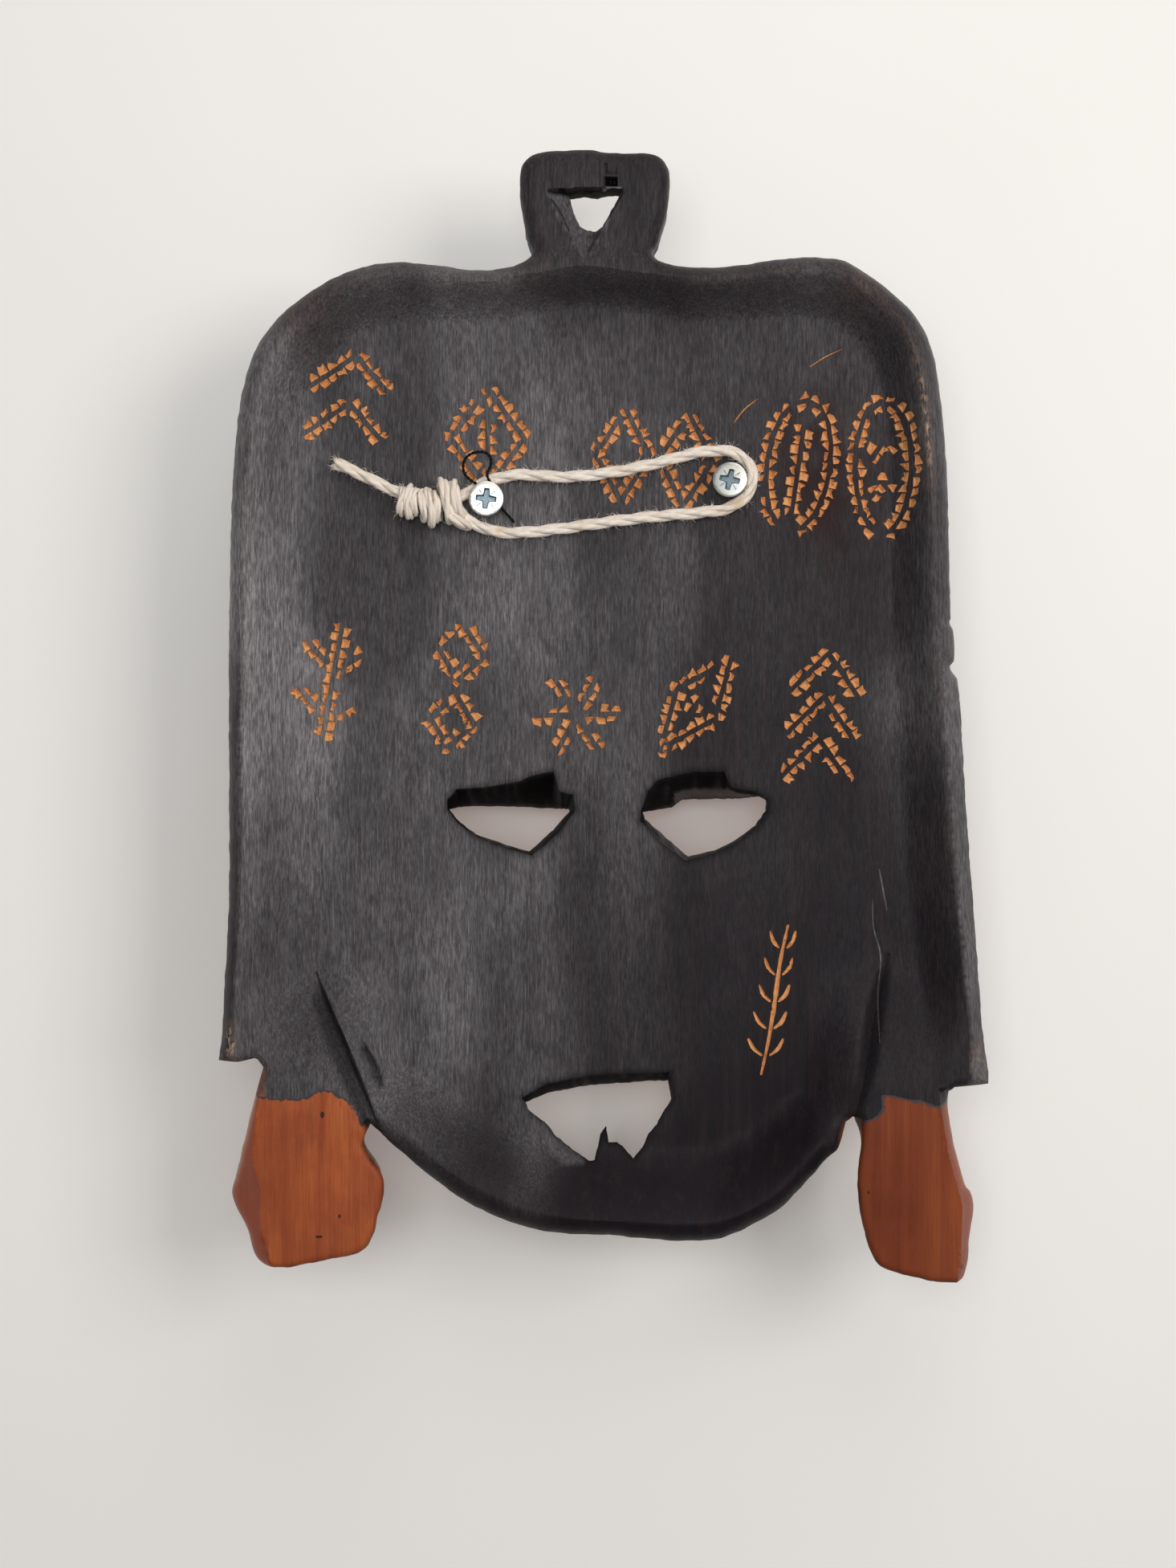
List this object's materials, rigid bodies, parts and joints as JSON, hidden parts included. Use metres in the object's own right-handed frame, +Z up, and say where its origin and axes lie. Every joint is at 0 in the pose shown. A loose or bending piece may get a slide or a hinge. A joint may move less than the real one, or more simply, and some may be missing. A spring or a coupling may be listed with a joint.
{
  "type": "carved wooden wall mask",
  "caption": "Carved wooden wall mask with a hollow back, pierced eyes and mouth, a hanging handle, ear pendants and a string hanger on two screws.",
  "frame": {"origin": "where the nail bears: the top of the handle's hole, on the wall plane that the rim of the back touches", "axes": "+Z up as the mask hangs; the carved front faces -Y and the back faces the wall at +Y; +X is to the left of a person looking at the back"},
  "size_m": [0.159, 0.042, 0.2333],
  "materials": {
    "stained_wood": "satin",
    "bare_wood": "satin",
    "zinc_steel": "satin",
    "cotton_string": "matte",
    "black_cotton": "matte"
  },
  "bodies": {
    "root": {"mask_body": "stained_wood", "left_ear_pendant": "bare_wood", "right_ear_pendant": "bare_wood", "left_screw": "zinc_steel", "right_screw": "zinc_steel", "hanging_cord": "cotton_string", "cord_knot": "cotton_string", "black_thread": "black_cotton"}
  },
  "joints": []
}
